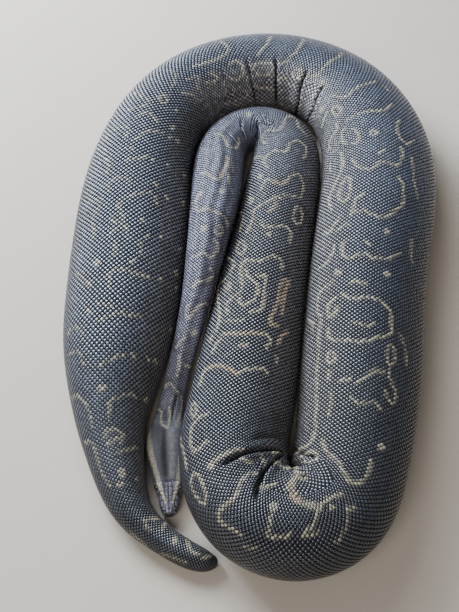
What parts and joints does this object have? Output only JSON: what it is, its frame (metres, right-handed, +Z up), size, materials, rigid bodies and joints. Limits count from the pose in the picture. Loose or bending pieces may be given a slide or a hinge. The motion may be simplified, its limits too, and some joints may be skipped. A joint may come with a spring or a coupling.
{
  "type": "coiled python",
  "caption": "Still life-size model of a heavy-bodied python lying in a nested coil, its head at rest on the ground between lengths of its trunk.",
  "frame": {"origin": "middle of the animal's box in plan, on the ground under its belly", "axes": "+Z up from the ground, +Y along the coil's length towards its far bend, away from the head and the tail tip, +X from the hind trunk side towards the middle trunk side"},
  "size_m": [0.6094, 1.0322, 0.1333],
  "materials": {
    "trunk_skin": "glossy scaled skin, dark slate with thin cream markings",
    "tail_skin": "glossy scaled skin, blue-black",
    "head_skin": "smooth head shields, blue-grey with cream stripes",
    "eye": "polished, dark brown"
  },
  "bodies": {
    "root": {"tail": "tail_skin", "vent_length": "trunk_skin", "hind_trunk_lower": "trunk_skin", "hind_trunk_upper": "trunk_skin", "outer_bend_rear": "trunk_skin", "outer_bend_top": "trunk_skin", "outer_bend_front": "trunk_skin", "middle_trunk_upper": "trunk_skin", "middle_trunk_lower": "trunk_skin", "near_bend_entry": "trunk_skin", "near_bend_tip": "trunk_skin", "near_bend_exit": "trunk_skin", "fore_trunk_lower": "trunk_skin", "fore_trunk_upper": "trunk_skin", "inner_turn_entry": "trunk_skin", "inner_turn_exit": "trunk_skin", "neck_base": "trunk_skin", "neck_middle": "trunk_skin", "nape": "head_skin", "head": "head_skin", "lower_jaw": "head_skin", "eye_left": "eye", "eye_right": "eye"}
  },
  "joints": []
}
